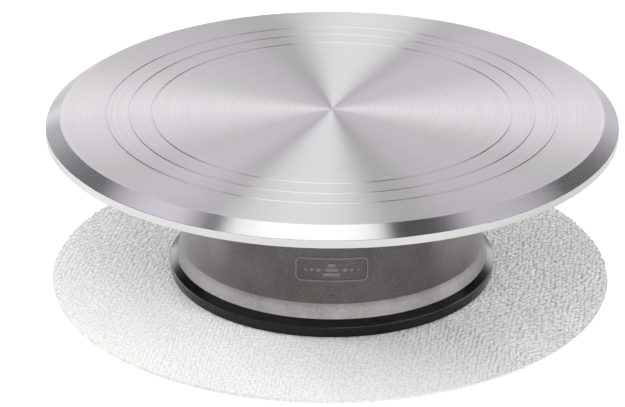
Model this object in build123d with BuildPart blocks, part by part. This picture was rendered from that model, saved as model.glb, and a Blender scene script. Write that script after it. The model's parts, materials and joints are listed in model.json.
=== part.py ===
"""Cake decorating turntable: a turned aluminium plate on a steel spindle, which runs in two
ball bearings inside a heavy cast drum. The drum stands in a rubber foot ring on a loose
non-slip mat.

Millimetres, +Z up. The origin is on the turning axis, in the plane of the mat's underside,
and -Y is the front, where the badge is. The mat lies loose, a little forward of the drum.
"""

import math
import os

from build123d import *

os.makedirs("parts", exist_ok=True)

# Mat and overall size
mat_radius = 151
mat_thickness = 2
mat_centre = (-1, -4.5)
plate_top_z = 93.4

# Top plate
plate_radius = 152.4
plate_thickness = 9.2
bevel_width = 7.6
bevel_drop = 4.9
plate_edge_radius = 0.3
groove_radii = (96.1, 108.3, 120.3)
groove_width = 1.0
groove_depth = 0.4
relief_depth = 3.2
relief_inner_radius = 46
relief_outer_radius = 137
plate_underside_z = plate_top_z - plate_thickness

# Foot ring
ring_inner_radius = 76
ring_foot_radius = 87.6
ring_outer_radius = 88.4
ring_wall_height = 5.6
ring_height = 8.8
ring_floor = 4
ring_edge_radius = 0.8

# Base casting
flange_radius = 84.4
flange_top_radius = 82.9
flange_top_z = mat_thickness + 14.3
flange_seat_z = mat_thickness + ring_floor
drum_foot_radius = 82.3
drum_foot_z = mat_thickness + 16.6
drum_foot_blend_radius = 8
drum_top_radius = 80.2
deck_top_z = 77
deck_thickness = 6
deck_edge_radius = 3
cavity_foot_radius = 77
cavity_top_radius = 75
rib_count = 4
rib_thickness = 6
rib_bottom_z = 22
rib_inner_radius = 20
boss_bottom_z = 9
boss_bottom_radius = 24
boss_top_radius = 33
recess_radius = 30
recess_floor_z = 72
deck_bottom_z = deck_top_z - deck_thickness

# Badge on the front of the drum, raised in the casting
badge_width = 37.6
badge_height = 13.2
badge_corner_radius = 3
badge_line = 0.7
badge_relief = 0.55
badge_z = mat_thickness + 36
tier_sizes = ((9.0, 2.0), (6.4, 2.0), (3.8, 2.0))
tier_gap = 0.55
pip_radii = (1.15, 0.9, 0.65)
pip_pitch = 3.4

# Ball bearings, 17 x 35 x 10
bearing_bore_radius = 8.5
bearing_outer_radius = 17.5
bearing_width = 10
inner_land_radius = 11.5
outer_land_radius = 14.6
ball_pitch_radius = 13
ball_radius = 2.381
ball_count = 10
ball_clearance = 0.08
race_radius = 2.52
cage_thickness = 1.3
cage_height = 6
pocket_clearance = 0.1
seal_thickness = 0.8
seal_inset = 0.3
seal_lip_gap = 0.2
upper_bearing_z = recess_floor_z - bearing_width
lower_bearing_z = 26
lower_bearing_float = 0.5
bearing_shoulder_radius = 15
lower_bearing_top_z = lower_bearing_z + bearing_width

# Preload spring, bore circlip and dust cap
circlip_thickness = 1.5
circlip_z = 22.3
circlip_groove_radius = 18.6
circlip_outer_radius = 18.5
circlip_inner_radius = 15.2
circlip_gap = 9
circlip_ear_radius = 2.2
circlip_eye_radius = 0.9
spring_inner_radius = 15.1
spring_outer_radius = 17.2
spring_thickness = 0.6
cap_wall = 1
cap_height = 4

# Bearing retainer and its screws, M4
retainer_radius = 29.5
retainer_thickness = 3
retainer_bore_radius = 12
retainer_screw_circle = 24.5
retainer_screw_count = 4
m4_radius = 2
m4_head_radius = 3.8
m4_length = 12

# Hub under the plate and its screws, M5
hub_radius = 40
hub_flange_thickness = 5
hub_neck_radius = 15
hub_bottom_z = 76
hub_edge_chamfer = 1
hub_screw_circle = 30
hub_screw_count = 6
m5_radius = 2.5
m5_head_radius = 4.6
m5_length = 10
hub_flange_z = plate_underside_z - hub_flange_thickness

# Spindle, its top screw, M6, and its bottom nut, M12
spindle_head_radius = 10
spindle_head_top_z = 80.4
collar_radius = 11
thread_radius = 6
thread_top_z = lower_bearing_z + 0.5
spindle_end_z = 15
spindle_end_chamfer = 1
m6_radius = 3
m6_head_radius = 5.8
m6_length = 16
washer_thickness = 2.5
washer_radius = 12
nut_across_flats = 18
nut_height = 6.5
spacer_radius = 11
hex_socket_depth = 1.6
tapped_hole_spare = 2
plate_hole_spare = 1


def flat_head_screw(radius, head_radius, length, socket_across_flats, socket_depth):
    """A countersunk screw with a hex socket, standing head up with its top face at z = 0."""
    head_height = head_radius - radius
    with BuildPart(mode=Mode.PRIVATE) as screw:
        with BuildSketch(Plane.XZ):
            Polygon(
                (0, 0),
                (head_radius, 0),
                (radius, -head_height),
                (radius, -length + radius / 4),
                (radius * 0.75, -length),
                (0, -length),
                align=None,
            )
        revolve(axis=Axis.Z)
        with BuildSketch():
            RegularPolygon(socket_across_flats / 2, 6, major_radius=False)
        extrude(amount=-socket_depth, mode=Mode.SUBTRACT)
    return screw.part


# ---- Loose non-slip mat ----

with BuildPart() as non_slip_mat:
    with BuildSketch():
        with Locations(mat_centre):
            Circle(mat_radius)
    extrude(amount=mat_thickness)
non_slip_mat.part.label = "non_slip_mat"
export_step(non_slip_mat.part, "parts/non_slip_mat.step")

# ---- Rubber foot ring, an L section that the flange sits in ----

with BuildPart() as foot_ring:
    with BuildSketch(Plane.XZ):
        with BuildLine():
            Polyline(
                (ring_inner_radius, mat_thickness),
                (ring_foot_radius, mat_thickness),
                (ring_outer_radius, mat_thickness + ring_wall_height),
                (flange_radius, mat_thickness + ring_height),
                (flange_radius, flange_seat_z),
                (ring_inner_radius, flange_seat_z),
                close=True,
            )
        face = make_face()
        shoulder = face.vertices().sort_by(Axis.X)[-1]
        fillet(shoulder, ring_edge_radius)
    revolve(axis=Axis.Z)
foot_ring.part.label = "foot_ring"
export_step(foot_ring.part, "parts/foot_ring.step")

# ---- Base casting: drum, deck, central boss, ribs, bearing seats and badge ----

tier_stack_height = sum(height for _, height in tier_sizes) + tier_gap * (len(tier_sizes) - 1)

with BuildPart() as badge:
    # The outlines are pushed forward past the drum's front, then trimmed to a thin cone.
    with BuildSketch(Plane.XZ):
        with Locations((0, badge_z)):
            RectangleRounded(badge_width, badge_height, badge_corner_radius)
            RectangleRounded(
                badge_width - 2 * badge_line,
                badge_height - 2 * badge_line,
                badge_corner_radius - badge_line,
                mode=Mode.SUBTRACT,
            )
        tier_z = badge_z - tier_stack_height / 2
        for tier_width, tier_height in tier_sizes:
            with Locations((0, tier_z + tier_height / 2)):
                RectangleRounded(tier_width, tier_height, tier_height * 0.3)
            tier_z += tier_height + tier_gap
        for index, pip_radius in enumerate(pip_radii):
            pip_x = tier_sizes[0][0] / 2 + pip_pitch * (index + 0.7)
            with Locations((pip_x, badge_z), (-pip_x, badge_z)):
                Circle(pip_radius)
    extrude(amount=drum_foot_radius + 5)
    with BuildSketch(Plane.XZ):
        Polygon(
            (drum_foot_radius - 2, drum_foot_z),
            (drum_foot_radius + badge_relief, drum_foot_z),
            (drum_top_radius + badge_relief, deck_top_z),
            (drum_top_radius - 2, deck_top_z),
            align=None,
        )
    revolve(axis=Axis.Z, mode=Mode.INTERSECT)

with BuildPart() as base_casting:
    # Drum wall, flange and deck as one turned shell
    with BuildSketch(Plane.XZ):
        with BuildLine():
            Polyline(
                (cavity_foot_radius, flange_seat_z),
                (flange_radius, flange_seat_z),
                (flange_radius, mat_thickness + ring_height),
                (flange_top_radius, flange_top_z),
                (drum_foot_radius, drum_foot_z),
                (drum_top_radius, deck_top_z),
                (0, deck_top_z),
                (0, deck_bottom_z),
                (cavity_top_radius, deck_bottom_z),
                close=True,
            )
        shell = make_face()
        deck_rim = shell.vertices().group_by(Axis.Y)[-1].sort_by(Axis.X)[-1]
        fillet(deck_rim, deck_edge_radius)
        wall_foot = shell.vertices().sort_by_distance((drum_foot_radius, drum_foot_z))[0]
        fillet(wall_foot, drum_foot_blend_radius)
    revolve(axis=Axis.Z)
    # Central boss, drafted for casting
    with BuildSketch(Plane.XZ):
        Polygon(
            (0, boss_bottom_z),
            (boss_bottom_radius, boss_bottom_z),
            (boss_top_radius, deck_bottom_z),
            (0, deck_bottom_z),
            align=None,
        )
    revolve(axis=Axis.Z)
    # Ribs from the boss to the wall
    with PolarLocations(0, rib_count, start_angle=45):
        with Locations((rib_inner_radius, 0, rib_bottom_z)):
            Box(
                cavity_top_radius + 2 - rib_inner_radius,
                rib_thickness,
                deck_bottom_z - rib_bottom_z,
                align=(Align.MIN, Align.CENTER, Align.MIN),
            )
    # Stepped bearing bore, open right through
    with BuildSketch(Plane.XZ):
        Polygon(
            (0, boss_bottom_z),
            (bearing_outer_radius, boss_bottom_z),
            (bearing_outer_radius, circlip_z),
            (circlip_groove_radius, circlip_z),
            (circlip_groove_radius, circlip_z + circlip_thickness),
            (bearing_outer_radius, circlip_z + circlip_thickness),
            (bearing_outer_radius, lower_bearing_top_z + lower_bearing_float),
            (bearing_shoulder_radius, lower_bearing_top_z + lower_bearing_float),
            (bearing_shoulder_radius, upper_bearing_z),
            (bearing_outer_radius, upper_bearing_z),
            (bearing_outer_radius, recess_floor_z),
            (recess_radius, recess_floor_z),
            (recess_radius, deck_top_z),
            (0, deck_top_z),
            align=None,
        )
    revolve(axis=Axis.Z, mode=Mode.SUBTRACT)
    # Tapped holes for the retainer screws
    with Locations((0, 0, recess_floor_z)):
        with PolarLocations(retainer_screw_circle, retainer_screw_count, start_angle=45):
            Hole(m4_radius, depth=m4_length - retainer_thickness + tapped_hole_spare)
    add(badge.part)
base_casting.part.label = "base_casting"
export_step(base_casting.part, "parts/base_casting.step")

# ---- Bearing retainer and its screws ----

retainer_top_z = recess_floor_z + retainer_thickness

with BuildPart() as bearing_retainer:
    with BuildSketch(Plane.XY.offset(recess_floor_z)):
        Circle(retainer_radius)
        Circle(retainer_bore_radius, mode=Mode.SUBTRACT)
    extrude(amount=retainer_thickness)
    with Locations((0, 0, retainer_top_z)):
        with PolarLocations(retainer_screw_circle, retainer_screw_count, start_angle=45):
            CounterSinkHole(m4_radius, m4_head_radius, counter_sink_angle=90)
bearing_retainer.part.label = "bearing_retainer"
export_step(bearing_retainer.part, "parts/bearing_retainer.step")

m4_screw = flat_head_screw(m4_radius, m4_head_radius, m4_length, 2.5, hex_socket_depth)
with BuildPart() as retainer_screws:
    with Locations((0, 0, retainer_top_z)):
        with PolarLocations(retainer_screw_circle, retainer_screw_count, start_angle=45):
            add(m4_screw)
retainer_screws.part.label = "retainer_screws"
export_step(retainer_screws.part, "parts/retainer_screws.step")

# ---- The two ball bearings: rings, balls, cage and seals ----

for level, bearing_z in (("upper", upper_bearing_z), ("lower", lower_bearing_z)):
    middle_z = bearing_z + bearing_width / 2
    inner_race_x = ball_pitch_radius - ball_radius - ball_clearance + race_radius
    outer_race_x = ball_pitch_radius + ball_radius + ball_clearance - race_radius

    with BuildPart() as inner_ring:
        with BuildSketch(Plane.XZ):
            with Locations((bearing_bore_radius, bearing_z)):
                Rectangle(
                    inner_land_radius - bearing_bore_radius,
                    bearing_width,
                    align=(Align.MIN, Align.MIN),
                )
            with Locations((inner_race_x, middle_z)):
                Circle(race_radius, mode=Mode.SUBTRACT)
        revolve(axis=Axis.Z)
    inner_ring.part.label = f"{level}_bearing_inner_ring"
    export_step(inner_ring.part, f"parts/{level}_bearing_inner_ring.step")

    with BuildPart() as outer_ring:
        with BuildSketch(Plane.XZ):
            with Locations((outer_land_radius, bearing_z)):
                Rectangle(
                    bearing_outer_radius - outer_land_radius,
                    bearing_width,
                    align=(Align.MIN, Align.MIN),
                )
            with Locations((outer_race_x, middle_z)):
                Circle(race_radius, mode=Mode.SUBTRACT)
        revolve(axis=Axis.Z)
    outer_ring.part.label = f"{level}_bearing_outer_ring"
    export_step(outer_ring.part, f"parts/{level}_bearing_outer_ring.step")

    with BuildPart() as balls:
        with Locations((0, 0, middle_z)):
            with PolarLocations(ball_pitch_radius, ball_count):
                Sphere(ball_radius)
    balls.part.label = f"{level}_bearing_balls"
    export_step(balls.part, f"parts/{level}_bearing_balls.step")

    with BuildPart() as cage:
        with BuildSketch(Plane.XY.offset(middle_z - cage_height / 2)):
            Circle(ball_pitch_radius + cage_thickness / 2)
            Circle(ball_pitch_radius - cage_thickness / 2, mode=Mode.SUBTRACT)
        extrude(amount=cage_height)
        with Locations((0, 0, middle_z)):
            with PolarLocations(ball_pitch_radius, ball_count):
                Cylinder(
                    ball_radius + pocket_clearance,
                    4 * cage_thickness,
                    rotation=(0, 90, 0),
                    mode=Mode.SUBTRACT,
                )
    cage.part.label = f"{level}_bearing_cage"
    export_step(cage.part, f"parts/{level}_bearing_cage.step")

    with BuildPart() as seals:
        for seal_z in (bearing_z + seal_inset, bearing_z + bearing_width - seal_inset - seal_thickness):
            with BuildSketch(Plane.XY.offset(seal_z)):
                Circle(outer_land_radius)
                Circle(inner_land_radius + seal_lip_gap, mode=Mode.SUBTRACT)
            extrude(amount=seal_thickness)
    seals.part.label = f"{level}_bearing_seals"
    export_step(seals.part, f"parts/{level}_bearing_seals.step")

# ---- Preload spring, bore circlip and dust cap, below the lower bearing ----

spring_seat_z = circlip_z + circlip_thickness

with BuildPart() as preload_spring:
    with BuildSketch(Plane.XZ):
        Polygon(
            (spring_inner_radius, lower_bearing_z - spring_thickness),
            (spring_outer_radius, spring_seat_z),
            (spring_outer_radius, spring_seat_z + spring_thickness),
            (spring_inner_radius, lower_bearing_z),
            align=None,
        )
    revolve(axis=Axis.Z)
preload_spring.part.label = "preload_spring"
export_step(preload_spring.part, "parts/preload_spring.step")

with BuildPart() as bore_circlip:
    ear_x = circlip_gap / 2 + circlip_ear_radius
    ear_y = math.sqrt(circlip_inner_radius**2 - ear_x**2) - circlip_ear_radius / 2
    with BuildSketch(Plane.XY.offset(circlip_z)):
        Circle(circlip_outer_radius)
        Circle(circlip_inner_radius, mode=Mode.SUBTRACT)
        with Locations((0, circlip_inner_radius)):
            Rectangle(circlip_gap, 2 * circlip_ear_radius + circlip_outer_radius, mode=Mode.SUBTRACT)
        with Locations((ear_x, ear_y), (-ear_x, ear_y)):
            Circle(circlip_ear_radius)
            Circle(circlip_eye_radius, mode=Mode.SUBTRACT)
    extrude(amount=circlip_thickness)
bore_circlip.part.label = "bore_circlip"
export_step(bore_circlip.part, "parts/bore_circlip.step")

with BuildPart() as dust_cap:
    with BuildSketch(Plane.XY.offset(boss_bottom_z)):
        Circle(bearing_outer_radius)
    extrude(amount=cap_height)
    with BuildSketch(Plane.XY.offset(boss_bottom_z + cap_wall)):
        Circle(bearing_outer_radius - cap_wall)
    extrude(amount=cap_height - cap_wall, mode=Mode.SUBTRACT)
    chamfer(dust_cap.edges().group_by(Axis.Z)[0], cap_wall / 2)
dust_cap.part.label = "dust_cap"
export_step(dust_cap.part, "parts/dust_cap.step")

# ---- Spindle and what is clamped on it ----

with BuildPart() as spindle:
    with BuildSketch(Plane.XZ):
        Polygon(
            (0, spindle_end_z),
            (thread_radius - spindle_end_chamfer, spindle_end_z),
            (thread_radius, spindle_end_z + spindle_end_chamfer),
            (thread_radius, thread_top_z),
            (bearing_bore_radius, thread_top_z),
            (bearing_bore_radius, recess_floor_z),
            (collar_radius, recess_floor_z),
            (collar_radius, hub_bottom_z),
            (spindle_head_radius, hub_bottom_z),
            (spindle_head_radius, spindle_head_top_z),
            (0, spindle_head_top_z),
            align=None,
        )
    revolve(axis=Axis.Z)
    with Locations((0, 0, spindle_head_top_z)):
        Hole(m6_radius, depth=m6_length + tapped_hole_spare)
spindle.part.label = "spindle"
export_step(spindle.part, "parts/spindle.step")

with BuildPart() as bearing_spacer:
    with BuildSketch(Plane.XY.offset(lower_bearing_top_z)):
        Circle(spacer_radius)
        Circle(bearing_bore_radius, mode=Mode.SUBTRACT)
    extrude(amount=upper_bearing_z - lower_bearing_top_z)
bearing_spacer.part.label = "bearing_spacer"
export_step(bearing_spacer.part, "parts/bearing_spacer.step")

washer_z = lower_bearing_z - washer_thickness

with BuildPart() as spindle_washer:
    with BuildSketch(Plane.XY.offset(washer_z)):
        Circle(washer_radius)
        Circle(thread_radius, mode=Mode.SUBTRACT)
    extrude(amount=washer_thickness)
spindle_washer.part.label = "spindle_washer"
export_step(spindle_washer.part, "parts/spindle_washer.step")

with BuildPart() as spindle_nut:
    with BuildSketch(Plane.XY.offset(washer_z - nut_height)):
        RegularPolygon(nut_across_flats / 2, 6, major_radius=False)
        Circle(thread_radius, mode=Mode.SUBTRACT)
    extrude(amount=nut_height)
spindle_nut.part.label = "spindle_nut"
export_step(spindle_nut.part, "parts/spindle_nut.step")

# ---- Hub under the plate ----

with BuildPart() as plate_hub:
    with BuildSketch(Plane.XY.offset(hub_flange_z)):
        Circle(hub_radius)
    extrude(amount=hub_flange_thickness)
    chamfer(plate_hub.edges().group_by(Axis.Z)[0], hub_edge_chamfer)
    with BuildSketch(Plane.XY.offset(hub_bottom_z)):
        Circle(hub_neck_radius)
    extrude(amount=hub_flange_thickness)
    with BuildSketch(Plane.XY.offset(hub_bottom_z)):
        Circle(spindle_head_radius)
    extrude(amount=spindle_head_top_z - hub_bottom_z, mode=Mode.SUBTRACT)
    with Locations((0, 0, plate_underside_z)):
        CounterSinkHole(m6_radius, m6_head_radius, counter_sink_angle=90)
    with Locations(Plane(origin=(0, 0, hub_flange_z), z_dir=(0, 0, -1))):
        with PolarLocations(hub_screw_circle, hub_screw_count):
            CounterSinkHole(m5_radius, m5_head_radius, counter_sink_angle=90)
plate_hub.part.label = "plate_hub"
export_step(plate_hub.part, "parts/plate_hub.step")

m6_screw = flat_head_screw(m6_radius, m6_head_radius, m6_length, 4, hex_socket_depth)
with BuildPart() as spindle_screw:
    with Locations((0, 0, plate_underside_z)):
        add(m6_screw)
spindle_screw.part.label = "spindle_screw"
export_step(spindle_screw.part, "parts/spindle_screw.step")

m5_screw = flat_head_screw(m5_radius, m5_head_radius, m5_length, 3, hex_socket_depth)
with BuildPart() as hub_screws:
    with Locations(Plane(origin=(0, 0, hub_flange_z), z_dir=(0, 0, -1))):
        with PolarLocations(hub_screw_circle, hub_screw_count):
            add(m5_screw)
hub_screws.part.label = "hub_screws"
export_step(hub_screws.part, "parts/hub_screws.step")

# ---- Turned top plate: bevelled rim, three marker grooves, relieved underside ----

with BuildPart() as top_plate:
    with BuildSketch(Plane.XZ):
        with BuildLine():
            Polyline(
                (0, plate_underside_z),
                (relief_inner_radius, plate_underside_z),
                (relief_inner_radius + relief_depth, plate_underside_z + relief_depth),
                (relief_outer_radius - relief_depth, plate_underside_z + relief_depth),
                (relief_outer_radius, plate_underside_z),
                (plate_radius, plate_underside_z),
                (plate_radius, plate_top_z - bevel_drop),
                (plate_radius - bevel_width, plate_top_z),
                (0, plate_top_z),
                close=True,
            )
        section = make_face()
        rim = section.vertices().filter_by_position(Axis.X, plate_radius - bevel_width, plate_radius)
        fillet(rim, plate_edge_radius)
        for groove_radius in groove_radii:
            with Locations((groove_radius, plate_top_z)):
                Polygon(
                    (-groove_width / 2, 0),
                    (0, -groove_depth),
                    (groove_width / 2, 0),
                    align=None,
                    mode=Mode.SUBTRACT,
                )
    revolve(axis=Axis.Z)
    with Locations(Plane(origin=(0, 0, plate_underside_z), z_dir=(0, 0, -1))):
        with PolarLocations(hub_screw_circle, hub_screw_count):
            Hole(m5_radius, depth=m5_length - hub_flange_thickness + plate_hole_spare)
top_plate.part.label = "top_plate"
export_step(top_plate.part, "parts/top_plate.step")
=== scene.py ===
"""Looks of the cake turntable: turned metal, enamel, rubber, the bumpy mat, the studio and the camera.

Metres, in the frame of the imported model: +Z up, -Y is the front, the origin is on the turning axis.
"""

import json
import math

import bpy
import numpy as np
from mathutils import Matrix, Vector


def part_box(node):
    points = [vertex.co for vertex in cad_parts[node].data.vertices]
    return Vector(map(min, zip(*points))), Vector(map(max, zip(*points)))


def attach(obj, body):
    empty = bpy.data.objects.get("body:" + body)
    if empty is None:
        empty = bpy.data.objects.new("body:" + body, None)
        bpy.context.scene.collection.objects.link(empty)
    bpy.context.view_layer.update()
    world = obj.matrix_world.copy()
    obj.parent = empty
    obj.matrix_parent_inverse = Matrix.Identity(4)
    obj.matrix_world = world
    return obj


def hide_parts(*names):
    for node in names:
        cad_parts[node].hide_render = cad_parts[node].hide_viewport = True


MM = 0.001

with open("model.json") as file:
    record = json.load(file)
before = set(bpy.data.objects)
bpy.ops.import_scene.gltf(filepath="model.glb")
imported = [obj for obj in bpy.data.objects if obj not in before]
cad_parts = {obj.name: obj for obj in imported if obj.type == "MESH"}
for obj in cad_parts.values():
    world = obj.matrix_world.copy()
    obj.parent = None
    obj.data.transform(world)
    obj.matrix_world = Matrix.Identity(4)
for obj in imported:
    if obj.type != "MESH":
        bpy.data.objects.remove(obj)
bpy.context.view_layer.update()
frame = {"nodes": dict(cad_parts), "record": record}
nodes = frame["nodes"]

PLATE_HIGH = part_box("top_plate")[1]
PLATE_RADIUS = PLATE_HIGH.x
PLATE_TOP = PLATE_HIGH.z
BEVEL_WIDTH = 7.6 * MM
BEVEL_FOOT_Z = PLATE_TOP - 4.9 * MM
RIM_BAND = 1 * MM
GROOVE_MIDDLE_Z = PLATE_TOP - 0.25 * MM
GROOVE_HALF_DEPTH = 0.22 * MM
DRUM_FOOT_RADIUS = 82.3 * MM
DRUM_FOOT_Z = 18.6 * MM
DRUM_TOP_RADIUS = 80.2 * MM
DRUM_TOP_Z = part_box("base_casting")[1].z
# Rise over the drum wall across which the badge's painted highlight fades in.
BADGE_HIGHLIGHT_RISE = (0.25 * MM, 0.4 * MM)
MAT_LOW, MAT_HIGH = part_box("non_slip_mat")
MAT_CENTRE = (MAT_LOW + MAT_HIGH) / 2
MAT_RADIUS = (MAT_HIGH.x - MAT_LOW.x) / 2


# ---- Node helpers ----


class Shader:
    """A new material with one Principled shader, and short ways to add nodes to it."""

    def __init__(self, name, **sockets):
        self.material = bpy.data.materials.new(name)
        self.material.use_nodes = True
        self.tree = self.material.node_tree
        self.surface = self.tree.nodes["Principled BSDF"]
        for socket, value in sockets.items():
            self.surface.inputs[socket.replace("_", " ")].default_value = value

    def add(self, kind, **settings):
        """A node of that kind. A setting is a property of the node, or an input by its number as in1."""
        made = self.tree.nodes.new("ShaderNode" + kind)
        for key, value in settings.items():
            if key.startswith("in") and key[2:].isdigit():
                self.feed(made.inputs[int(key[2:])], value)
            else:
                setattr(made, key, value)
        return made

    def feed(self, socket, value):
        """Links an output to a socket, or sets the socket to a plain value."""
        if isinstance(value, bpy.types.NodeSocket):
            self.tree.links.new(value, socket)
        else:
            socket.default_value = value

    def use(self, socket, value):
        """Links an output to a socket of the surface's own shader."""
        self.feed(self.surface.inputs[socket], value)

    def math(self, operation, *values):
        """The result of a sum on outputs or plain numbers."""
        made = self.add("Math", operation=operation)
        for socket, value in zip(made.inputs, values):
            self.feed(socket, value)
        return made.outputs[0]

    def position(self):
        """Position on the piece, which turns with it."""
        return self.add("TexCoord").outputs["Object"]

    def radius(self):
        """Distance from the turning axis."""
        flat = self.add("VectorMath", operation="MULTIPLY", in0=self.position(), in1=(1, 1, 0))
        return self.add("VectorMath", operation="LENGTH", in0=flat.outputs[0]).outputs["Value"]

    def height(self):
        """Height above the mat's underside."""
        return self.add("SeparateXYZ", in0=self.position()).outputs["Z"]

    def noise(self, size, detail=2.0, roughness=0.5):
        """Noise in 0 to 1 whose features are about size metres across."""
        made = self.add("TexNoise")
        self.feed(made.inputs["Vector"], self.position())
        made.inputs["Scale"].default_value = 1 / size
        made.inputs["Detail"].default_value = detail
        made.inputs["Roughness"].default_value = roughness
        return made.outputs["Fac"]

    def rings(self, size, detail=2.0):
        """Noise along the radius alone, which makes concentric rings."""
        made = self.add("TexNoise", noise_dimensions="1D")
        self.feed(made.inputs["W"], self.radius())
        made.inputs["Scale"].default_value = 1 / size
        made.inputs["Detail"].default_value = detail
        return made.outputs["Fac"]

    def span(self, value, low, high, start=0.0, end=1.0):
        """Maps value from start..end to low..high, held at both ends."""
        made = self.add("MapRange", in0=value, in1=start, in2=end, in3=low, in4=high)
        return made.outputs[0]

    def choose(self, share, first, second):
        """The number first where share is 0 and second where it is 1."""
        return self.add("Mix", in0=share, in2=first, in3=second).outputs[0]

    def blend(self, share, first, second):
        """The colour first where share is 0 and second where it is 1."""
        return self.add("Mix", data_type="RGBA", in0=share, in6=first, in7=second).outputs[2]

    def bump(self, height, depth):
        """Bumps the surface by height times depth metres."""
        made = self.add("Bump")
        self.feed(made.inputs["Height"], height)
        made.inputs["Distance"].default_value = depth
        return made.outputs[0]

    def turned(self):
        """Gives the surface the tangent of a lathe's tool marks."""
        made = self.add("Tangent", direction_type="RADIAL", axis="Z")
        self.use("Tangent", made.outputs[0])


def grey(value, tint=(1, 1, 1)):
    """A grey, with its red, green and blue multiplied by a tint, as an opaque colour."""
    return (value * tint[0], value * tint[1], value * tint[2], 1)


# ---- Materials ----

LILAC_METAL = (1.035, 1, 1.04)
BLUE_METAL = (1.02, 1, 1.04)


def turned_aluminium():
    """Turned plate: concentric tool marks, smoother grooves, bevel and rim, and a faint lilac cast."""
    look = Shader("turned_aluminium", Metallic=1, Anisotropic=1.0, Anisotropic_Rotation=0.25)
    look.turned()
    on_bevel = look.math("GREATER_THAN", look.radius(), PLATE_RADIUS - BEVEL_WIDTH)
    near_rim = look.math("GREATER_THAN", look.radius(), PLATE_RADIUS - RIM_BAND)
    on_rim = look.math("MULTIPLY", near_rim, look.math("LESS_THAN", look.height(), BEVEL_FOOT_Z))
    fine = look.rings(0.35 * MM)
    broad = look.rings(5 * MM, detail=4)
    marks = look.span(look.rings(1.6 * MM, detail=3), 0, 1, 0.3, 0.7)
    in_groove = look.math("COMPARE", look.height(), GROOVE_MIDDLE_Z, GROOVE_HALF_DEPTH)
    roughness = look.math("ADD", look.span(fine, 0.375, 0.40), look.span(broad, 0.0, 0.03))
    roughness = look.choose(in_groove, roughness, 0.30)
    roughness = look.choose(on_bevel, roughness, look.span(fine, 0.22, 0.24))
    roughness = look.choose(on_rim, roughness, look.span(fine, 0.10, 0.13))
    look.use("Roughness", roughness)
    flat = look.blend(marks, grey(0.80, LILAC_METAL), grey(0.86, LILAC_METAL))
    edge = look.blend(on_rim, grey(0.85, BLUE_METAL), grey(0.85))
    look.use("Base Color", look.blend(on_bevel, flat, edge))
    return look.material


def base_enamel():
    """Warm dark grey enamel, finely sandy, with painted light on the foot flange and a painted highlight on
    the badge's raised lines.
    """
    look = Shader("base_enamel", Metallic=0.8, Specular_IOR_Level=0.5, Sheen_Weight=0.6, Sheen_Roughness=0.4)
    grain = look.noise(0.8 * MM, detail=3, roughness=0.65)
    patches = look.noise(14 * MM, detail=3)
    tone = look.math("ADD", look.span(grain, -0.6, 0.6, 0.3, 0.7), look.span(patches, 0.25, 0.75, 0.3, 0.7))
    height = look.height()
    wall = look.span(height, DRUM_FOOT_RADIUS, DRUM_TOP_RADIUS, DRUM_FOOT_Z, DRUM_TOP_Z)
    proud = look.math("SUBTRACT", look.radius(), wall)
    above_foot = look.math("GREATER_THAN", height, DRUM_FOOT_Z + 2 * MM)
    # Painted highlight: the badge's raised lines, above the foot, get a lighter colour for the light they
    # catch.
    badge_painted_highlight = look.math("MULTIPLY", look.span(proud, 0, 1, *BADGE_HIGHLIGHT_RISE), above_foot)
    coat = look.blend(tone, grey(0.068, (1.12, 1.0, 0.95)), grey(0.115, (1.09, 1.0, 0.97)))
    # Painted light: the foot flange gets a lighter colour that stands in for the light it catches.
    flange_painted_light = look.blend(tone, grey(0.12, (1.07, 1.0, 0.97)), grey(0.19, (1.06, 1.0, 0.98)))
    at_foot = look.span(height, 1, 0, DRUM_FOOT_Z - 3 * MM, DRUM_FOOT_Z + 1 * MM)
    coat = look.blend(at_foot, coat, flange_painted_light)
    look.use("Base Color", look.blend(badge_painted_highlight, coat, grey(0.17, (1.04, 1.0, 0.97))))
    look.use("Roughness", look.span(grain, 0.28, 0.36))
    look.use("Normal", look.bump(grain, 0.12 * MM))
    return look.material


def foot_rubber():
    """Black moulded rubber with a soft shine and a fine skin."""
    look = Shader("foot_rubber", Specular_IOR_Level=0.3)
    skin = look.noise(0.7 * MM, detail=3, roughness=0.6)
    dust = look.noise(9 * MM, detail=3)
    look.use("Base Color", look.blend(look.span(dust, 0, 1, 0.4, 0.75), grey(0.003), grey(0.007)))
    look.use("Roughness", look.span(skin, 0.14, 0.22))
    look.use("Normal", look.bump(skin, 0.03 * MM))
    return look.material


def mat_foam():
    """Foamed off-white vinyl: matt, with painted shade darkening the hollows between the bumps."""
    look = Shader("mat_foam", Specular_IOR_Level=0.3, Subsurface_Weight=0.15, Subsurface_Scale=1 * MM)
    look.surface.inputs["Subsurface Radius"].default_value = (1.0, 0.9, 0.8)
    height = look.add("Attribute", attribute_name="bump_height").outputs["Fac"]
    foam = look.noise(0.45 * MM, detail=3, roughness=0.6)
    cast = look.noise(25 * MM)
    # Painted shade: the hollows between the bumps get a darker colour for the shade that falls in them.
    hollow_painted_shade = look.blend(cast, grey(0.37, (1, 0.995, 0.96)), grey(0.43, (1, 0.995, 0.965)))
    crest = look.blend(cast, grey(0.74, (1, 0.998, 0.975)), grey(0.775, (1, 0.998, 0.98)))
    height_and_flecks = look.math("ADD", height, look.span(foam, -0.2, 0.2, 0.3, 0.7))
    # Painted shade: the hollows darken more towards the back right, where the plate's shade falls.
    relief_and_shade = look.add("Attribute", attribute_name="relief_and_shade").outputs["Fac"]
    painted_hollow_shade = look.math("MULTIPLY", look.span(height_and_flecks, 1, 0, 0.05, 0.45), relief_and_shade)
    look.use("Base Color", look.blend(painted_hollow_shade, crest, hollow_painted_shade))
    look.use("Roughness", look.span(foam, 0.6, 0.85))
    look.use("Normal", look.bump(foam, 0.08 * MM))
    return look.material


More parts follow.
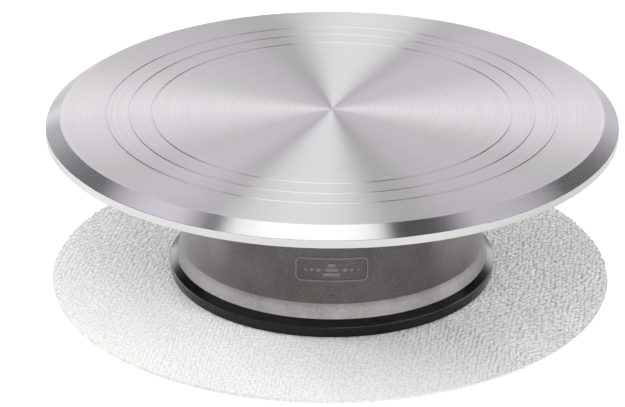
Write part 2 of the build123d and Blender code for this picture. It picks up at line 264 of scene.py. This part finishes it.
def turned_steel(name, value, smoothest, roughest):
    """Steel turned on a lathe: anisotropic, with rings of slightly different shine."""
    look = Shader(name, Metallic=1, Anisotropic=0.8, Anisotropic_Rotation=0.25)
    look.turned()
    rings = look.rings(0.5 * MM, detail=3)
    look.use("Roughness", look.span(rings, smoothest, roughest))
    look.use("Base Color", look.blend(rings, grey(value * 0.94), grey(value, (1, 1, 1.02))))
    return look.material


def plated_steel(name, dark, light, smoothest, roughest):
    """Plated or polished steel with cloudy variation and fine wear."""
    look = Shader(name, Metallic=1)
    clouds = look.noise(4 * MM, detail=4)
    wear = look.noise(0.6 * MM, detail=3)
    look.use("Base Color", look.blend(clouds, dark, light))
    look.use("Roughness", look.span(wear, smoothest, roughest))
    look.use("Normal", look.bump(wear, 0.01 * MM))
    return look.material


def seal_rubber():
    """Matt black rubber of the bearing seals."""
    look = Shader("seal_rubber", Specular_IOR_Level=0.4)
    skin = look.noise(0.8 * MM, detail=3)
    look.use("Base Color", look.blend(skin, grey(0.02), grey(0.04)))
    look.use("Roughness", look.span(skin, 0.5, 0.7))
    look.use("Normal", look.bump(skin, 0.03 * MM))
    return look.material


def all_materials():
    """One material for each of the record's slots."""
    ball_dark, ball_light = grey(0.60), grey(0.68, (1, 1, 1.02))
    zinc_dark, zinc_light = grey(0.58, (0.98, 1, 1.03)), grey(0.70)
    spring_dark, spring_light = grey(0.06), grey(0.10, (1, 0.98, 0.95))
    return {
        "turned_aluminium": turned_aluminium(),
        "base_coat": base_enamel(),
        "foot_rubber": foot_rubber(),
        "mat_foam": mat_foam(),
        "bearing_steel": plated_steel("bearing_steel", ball_dark, ball_light, 0.08, 0.16),
        "spindle_steel": turned_steel("spindle_steel", 0.56, 0.25, 0.38),
        "hub_steel": turned_steel("hub_steel", 0.60, 0.28, 0.42),
        "zinc_steel": plated_steel("zinc_steel", zinc_dark, zinc_light, 0.2, 0.34),
        "spring_steel": plated_steel("spring_steel", spring_dark, spring_light, 0.3, 0.45),
        "seal_rubber": seal_rubber(),
    }


def dress_cad_nodes(materials):
    """Gives every CAD node the material of its slot in the record."""
    for part in frame["record"]["subparts"]:
        mesh = nodes[part["node"]].data
        if not mesh.materials:
            mesh.materials.append(None)
        for index in range(len(mesh.materials)):
            mesh.materials[index] = materials[part["material_slot"]]


# ---- Mat: rows of small foam bumps on a knit ----

MAT_CELLS = 440
MAT_SPARE_SITES = 40
MAT_ROW_PITCH = 2.1 * MM
MAT_BUMP_PITCH = 2.5 * MM
MAT_ROW_ANGLE = math.radians(24)
MAT_WAVE_LENGTH = 31 * MM
MAT_WAVE_HEIGHT = 1.1 * MM
# The relief deepens and the painted hollow shade darkens towards MAT_SHADED_SIDE, where the plate's shade
# falls, from the first to the second part of the radius in MAT_SHADED_SPAN.
MAT_SHADED_SIDE = (0.6, 0.8)
MAT_SHADED_SPAN = (-0.7, 0.2)
MAT_RELIEF_AND_SHADE = (0.3, 1.0)
MAT_RELIEF = (0.6 * MM, 1.0 * MM)
MAT_SCALLOP = 0.8 * MM
MAT_HEM = 1.2 * MM
MAT_HEM_LEVEL = 0.7


def foam_bumps(x, y):
    """Height, 0 to 1, of a brick pattern of uneven oval bumps, at arrays of points."""
    random = np.random.default_rng(7)
    sites = 2 * math.ceil(MAT_RADIUS / MAT_ROW_PITCH) + MAT_SPARE_SITES
    jitter = random.uniform(-0.2, 0.2, (sites, sites, 2))
    turn = random.normal(0, 0.35, (sites, sites))
    length = random.uniform(0.36, 0.52, (sites, sites))
    width = random.uniform(0.28, 0.38, (sites, sites))
    height = random.uniform(0.62, 1.0, (sites, sites))
    cosine, sine = math.cos(MAT_ROW_ANGLE), math.sin(MAT_ROW_ANGLE)
    along = cosine * x + sine * y
    across = -sine * x + cosine * y
    across = across + MAT_WAVE_HEIGHT * np.sin(2 * math.pi * along / MAT_WAVE_LENGTH)
    u = along / MAT_BUMP_PITCH + sites / 2
    v = across / MAT_ROW_PITCH + sites / 2
    # The cube root of a sum of cubes is a soft maximum, which lets neighbouring bumps run together.
    total = np.zeros_like(x)
    for row_step in range(-2, 3):
        row = np.floor(v).astype(int) + row_step
        shift = 0.5 * (row % 2)
        for column_step in range(-2, 3):
            column = np.floor(u - shift).astype(int) + column_step
            off_u = u - shift - column - 0.5 - jitter[row, column, 0]
            off_v = v - row - 0.5 - jitter[row, column, 1]
            angle = turn[row, column]
            long_way = off_u * np.cos(angle) + off_v * np.sin(angle)
            short_way = -off_u * np.sin(angle) + off_v * np.cos(angle)
            reach = (long_way / length[row, column]) ** 2 + (short_way / width[row, column]) ** 2
            total += (height[row, column] * np.exp(-reach)) ** 3
    return np.clip(total ** (1 / 3), 0, 1)


def relief_and_shade_across(unit_x, unit_y):
    """How deep the relief and the painted hollow shade are at points of the unit disc: least at the front
    left, most at the back right, where the plate's shade falls.
    """
    towards_open = MAT_SHADED_SIDE[0] * unit_x + MAT_SHADED_SIDE[1] * unit_y
    return np.interp(towards_open, MAT_SHADED_SPAN, MAT_RELIEF_AND_SHADE)


def square_to_disc(a, b):
    """Maps points of the square -1..1 to the unit disc so that cells keep their area."""
    wide = np.abs(a) >= np.abs(b)
    reach = np.where(wide, a, b)
    safe = np.where(reach == 0, 1, reach)
    angle = np.where(wide, math.pi / 4 * b / safe, math.pi / 2 - math.pi / 4 * a / safe)
    return reach * np.cos(angle), reach * np.sin(angle)


def foam_top(side):
    """Points of the mat's top, side times side of them, with each one's bump height and the depth of its
    relief and painted hollow shade.
    """
    line = np.linspace(-1, 1, side)
    grid_a, grid_b = np.meshgrid(line, line, indexing="ij")
    unit_x, unit_y = square_to_disc(grid_a.ravel(), grid_b.ravel())
    bumps = foam_bumps(unit_x * MAT_RADIUS, unit_y * MAT_RADIUS)
    inside = np.clip((1 - np.hypot(unit_x, unit_y)) * MAT_RADIUS / MAT_HEM, 0, 1)
    height = bumps * (MAT_HEM_LEVEL + (1 - MAT_HEM_LEVEL) * inside)
    reach = MAT_RADIUS - MAT_SCALLOP * (1 - bumps) * (1 - inside)
    relief_and_shade = relief_and_shade_across(unit_x, unit_y)
    relief = np.interp(relief_and_shade, MAT_RELIEF_AND_SHADE, MAT_RELIEF)
    x = MAT_CENTRE.x + unit_x * reach
    y = MAT_CENTRE.y + unit_y * reach
    z = MAT_HIGH.z - relief * (1 - height)
    return np.column_stack((x, y, z)), height, relief_and_shade


def close_sheet(top, side):
    """Closes a grid of points with a wall and a flat underside: all points, top faces, other faces."""
    number = np.arange(side * side).reshape(side, side)
    quads = np.stack((number[:-1, :-1], number[1:, :-1], number[1:, 1:], number[:-1, 1:]), axis=-1)
    rim = np.concatenate((number[:-1, 0], number[-1, :-1], number[:0:-1, -1], number[0, :0:-1]))
    low = top[rim] * (1, 1, 0) + (0, 0, MAT_LOW.z)
    first_low = len(top)
    middle = first_low + len(rim)
    around = np.roll(np.arange(len(rim)), -1)
    wall = [(rim[k], rim[j], first_low + j, first_low + k) for k, j in enumerate(around)]
    underside = [(first_low + j, first_low + k, middle) for k, j in enumerate(around)]
    points = np.vstack((top, low, (MAT_CENTRE.x, MAT_CENTRE.y, MAT_LOW.z)))
    return points, quads.reshape(-1, 4).tolist(), wall + underside


def build_mat(material):
    """A closed sheet with a bumpy top, a scalloped edge and a flat underside."""
    side = MAT_CELLS + 1
    top, height, relief_and_shade = foam_top(side)
    points, top_faces, other_faces = close_sheet(top, side)
    mesh = bpy.data.meshes.new("non_slip_mat_foam")
    mesh.from_pydata(points.tolist(), [], top_faces + other_faces)
    smooth = np.zeros(len(mesh.polygons), bool)
    smooth[: len(top_faces)] = True
    mesh.polygons.foreach_set("use_smooth", smooth)
    below = np.zeros(len(points) - len(top))
    for name, values in (("bump_height", height), ("relief_and_shade", relief_and_shade)):
        stored = mesh.attributes.new(name, "FLOAT", "POINT")
        stored.data.foreach_set("value", np.append(values, below).astype(np.float32))
    mesh.materials.append(material)
    mesh.update()
    mat = bpy.data.objects.new("non_slip_mat_foam", mesh)
    bpy.context.scene.collection.objects.link(mat)
    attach(mat, "mat")
    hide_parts("non_slip_mat")


# ---- Studio: panels that the metal mirrors, lamps and floor ----

NEUTRAL = (1, 1, 1)
LILAC = (1.03, 0.99, 1.06)
PALE_GREEN = (0.975, 1, 0.97)
ROOM_LEVEL = 0.02
# name: azimuth from +Y towards +X, elevation, half width, half height, soft edge (degrees), level, tint
PANELS = {
    "backdrop": (-1, 28, 26.5, 24.5, 6, 1.06, NEUTRAL),
    "upper_left": (-75, 53.5, 19.5, 10, 8.5, 0.82, LILAC),
    "upper_right": (82, 50, 17, 14.5, 3, 0.69, LILAC),
    "key_softbox": (-155, 64.5, 20, 21, 4.5, 1.6, PALE_GREEN),
    "overhead": (-17, 83, 10.5, 19, 3, 1.22, PALE_GREEN),
    "right_wall": (134, 24, 14.5, 21.5, 5.5, 1.04, NEUTRAL),
    "low_left": (-56, -5, 19, 15.5, 25, 2.1, LILAC),
    "low_right": (38, 3, 40, 13.5, 25, 0.51, LILAC),
}
# name: azimuth from the front towards +X, elevation (degrees), power (watts)
FILLS = {
    "fill_left": (-105, 22, 35),
    "fill_front_left": (-35, 18, 10),
    "fill_right": (50, 22, 23),
    "fill_back_right": (135, 30, 9),
}
FILL_DISTANCE = 1.7
FILL_SIZE = 1.1
# azimuth from the front towards +X (degrees): power (watts)
STRIPS = {
    -166: 1.0,
    -132: 1.2,
    -100: 2.2,
    -68: 2.8,
    -34: 2.8,
    0: 3.3,
    34: 2.6,
    68: 2.5,
    100: 2.2,
    132: 1.2,
    166: 1.0,
}
STRIP_DISTANCE = 1.2
STRIP_HEIGHT = 0.15
STRIP_SIZE = (0.72, 0.3)
# azimuth from the front towards +X (degrees): power (watts)
GLOWS = {-114: 0.005, -93: 0.006, -72: 0.006, 72: 0.007, 93: 0.007, 114: 0.005}
GLOW_RADIUS = 0.14
GLOW_HEIGHT = 0.015
GLOW_SIZE = (0.05, 0.022)
FLOOR_SIZE = 12.0
FLOOR_GREY = 0.58
FLOOR_SEEN_GREY = 0.30
FLOOR_SEEN_GLOW = 0.85


def towards(azimuth, elevation):
    """Unit vector at an azimuth from +Y towards +X and an elevation, in degrees."""
    azimuth, elevation = math.radians(azimuth), math.radians(elevation)
    level = math.cos(elevation)
    return Vector((math.sin(azimuth) * level, math.cos(azimuth) * level, math.sin(elevation)))


class World:
    """Nodes of the studio's surroundings, as colours by direction."""

    def __init__(self):
        self.world = bpy.data.worlds.new("studio")
        self.world.use_nodes = True
        self.tree = self.world.node_tree
        self.tree.nodes.clear()
        self.direction = self.add("TexCoord").outputs["Generated"]

    def add(self, kind, *values, **settings):
        """A node of that kind, with its properties set and its first inputs linked or filled in."""
        made = self.tree.nodes.new("ShaderNode" + kind)
        for key, value in settings.items():
            setattr(made, key, value)
        for socket, value in zip(made.inputs, values):
            if isinstance(value, bpy.types.NodeSocket):
                self.tree.links.new(value, socket)
            else:
                socket.default_value = value
        return made

    def math(self, operation, *values):
        """The result of a sum on outputs or plain numbers."""
        return self.add("Math", *values, operation=operation).outputs[0]

    def along(self, vector):
        """How far the direction goes along a vector."""
        return self.add("VectorMath", self.direction, vector, operation="DOT_PRODUCT").outputs["Value"]

    def mix(self, share, below, above):
        """The colour below where share is 0 and above where it is 1."""
        return self.add("MixRGB", share, below, above).outputs[0]

    def panel(self, below, azimuth, elevation, half_width, half_height, edge, level, tint):
        """Lays a soft-edged rectangular panel, seen in that direction, over what is below."""
        centre = towards(azimuth, elevation)
        right = towards(azimuth + 90, 0)
        least_depth = 0.001
        facing = self.along(centre)
        depth = self.math("MAXIMUM", facing, least_depth)
        soft = math.tan(math.radians(edge))
        share = self.math("GREATER_THAN", facing, least_depth)
        for vector, half in ((right, half_width), (right.cross(centre), half_height)):
            offset = self.math("DIVIDE", self.math("ABSOLUTE", self.along(vector)), depth)
            inside = self.math("SUBTRACT", math.tan(math.radians(half)), offset)
            step = self.add("MapRange", inside, -soft / 2, soft / 2, interpolation_type="SMOOTHSTEP")
            share = self.math("MULTIPLY", share, step.outputs[0])
        return self.mix(share, below, grey(level, tint))

    def finish(self, colour, seen):
        """Lights the scene with colour, and shows the camera a plain colour instead."""
        camera_ray = self.add("LightPath").outputs["Is Camera Ray"]
        background = self.add("Background", self.mix(camera_ray, colour, seen))
        output = self.add("OutputWorld")
        self.tree.links.new(background.outputs[0], output.inputs["Surface"])
        bpy.context.scene.world = self.world


def hang_panels():
    """Lays the panels over a dark room, and shows the camera a white background."""
    world = World()
    colour = grey(ROOM_LEVEL)
    for panel in PANELS.values():
        colour = world.panel(colour, *panel)
    world.finish(colour, grey(1.0))


def base_pieces():
    """The pieces of the base that show, for lamps that are meant for them alone."""
    pieces = bpy.data.collections.new("base_pieces")
    for name in ("base_casting", "foot_ring"):
        pieces.objects.link(nodes[name])
    return pieces


def hang_lamp(name, place, aim, power, size, lit=None):
    """Hangs a lamp that every piece sees but none mirrors, or one that only the pieces in lit mirror.

    A pair of sizes makes a rectangle and a single size a disc.
    """
    light = bpy.data.lights.new(name, "AREA")
    light.energy = power
    if isinstance(size, tuple):
        light.shape = "RECTANGLE"
        light.size, light.size_y = size
    else:
        light.shape = "DISK"
        light.size = size
    lamp = bpy.data.objects.new(name, light)
    lamp.location = place
    lamp.rotation_euler = (aim - place).to_track_quat("-Z", "Y").to_euler()
    lamp.visible_camera = False
    lamp.visible_glossy = bool(lit)
    lamp.visible_diffuse = not lit
    lamp.light_linking.receiver_collection = lit
    bpy.context.scene.collection.objects.link(lamp)


def light_fills():
    """Hangs broad lamps that nothing mirrors, for an even light on the mat under the plate."""
    for name, (azimuth, elevation, power) in FILLS.items():
        place = towards(180 - azimuth, elevation) * FILL_DISTANCE
        hang_lamp(name, place, Vector((0, 0, 0)), power, FILL_SIZE)


def light_strips(base):
    """Hangs low softboxes all round, which only the base mirrors, most of all in its foot flange."""
    middle = Vector((0, 0, STRIP_HEIGHT))
    for azimuth, power in STRIPS.items():
        place = towards(180 - azimuth, 0) * STRIP_DISTANCE + middle
        hang_lamp(f"strip_{azimuth}", place, middle, power, STRIP_SIZE, base)


def light_glows(base):
    """Hangs small lamps under the plate's edge at both sides, which only the base mirrors."""
    middle = Vector((0, 0, GLOW_HEIGHT))
    for azimuth, power in GLOWS.items():
        place = towards(180 - azimuth, 0) * GLOW_RADIUS + middle
        hang_lamp(f"glow_{azimuth}", place, middle, power, GLOW_SIZE, base)


def lay_floor():
    """Lays a plain pale floor at the mat's underside, seen brighter than it lights the object."""
    half = FLOOR_SIZE / 2
    mesh = bpy.data.meshes.new("studio_floor")
    corners = [(-half, -half, 0), (half, -half, 0), (half, half, 0), (-half, half, 0)]
    mesh.from_pydata(corners, [], [(0, 1, 2, 3)])
    floor = bpy.data.objects.new("studio_floor", mesh)
    bpy.context.scene.collection.objects.link(floor)
    look = Shader("studio_floor", Roughness=1, Specular_IOR_Level=0, Emission_Strength=1.0)
    seen = look.add("LightPath").outputs["Is Camera Ray"]
    look.use("Base Color", look.blend(seen, grey(FLOOR_GREY), grey(FLOOR_SEEN_GREY)))
    look.use("Emission Color", look.blend(seen, grey(0.0), grey(FLOOR_SEEN_GLOW)))
    mesh.materials.append(look.material)


# ---- Camera ----

CAMERA_PLACE = Vector((0, -1.3814, 0.6769))
CAMERA_TARGET = Vector((-0.0105, 0, 0.0378))
CAMERA_LENS = 162
CAMERA_SENSOR = 36


def place_camera():
    """Puts the camera in front of and above the turntable, aimed a little left of its middle."""
    data = bpy.data.cameras.new("camera")
    data.lens = CAMERA_LENS
    data.sensor_width = CAMERA_SENSOR
    camera = bpy.data.objects.new("camera", data)
    camera.location = CAMERA_PLACE
    camera.rotation_euler = (CAMERA_TARGET - CAMERA_PLACE).to_track_quat("-Z", "Y").to_euler()
    bpy.context.scene.collection.objects.link(camera)
    bpy.context.scene.camera = camera


# ---- The scene ----

materials = all_materials()
dress_cad_nodes(materials)
build_mat(materials["mat_foam"])
hang_panels()
light_fills()
base = base_pieces()
light_strips(base)
light_glows(base)
lay_floor()
place_camera()
bpy.context.scene.view_settings.view_transform = "Standard"
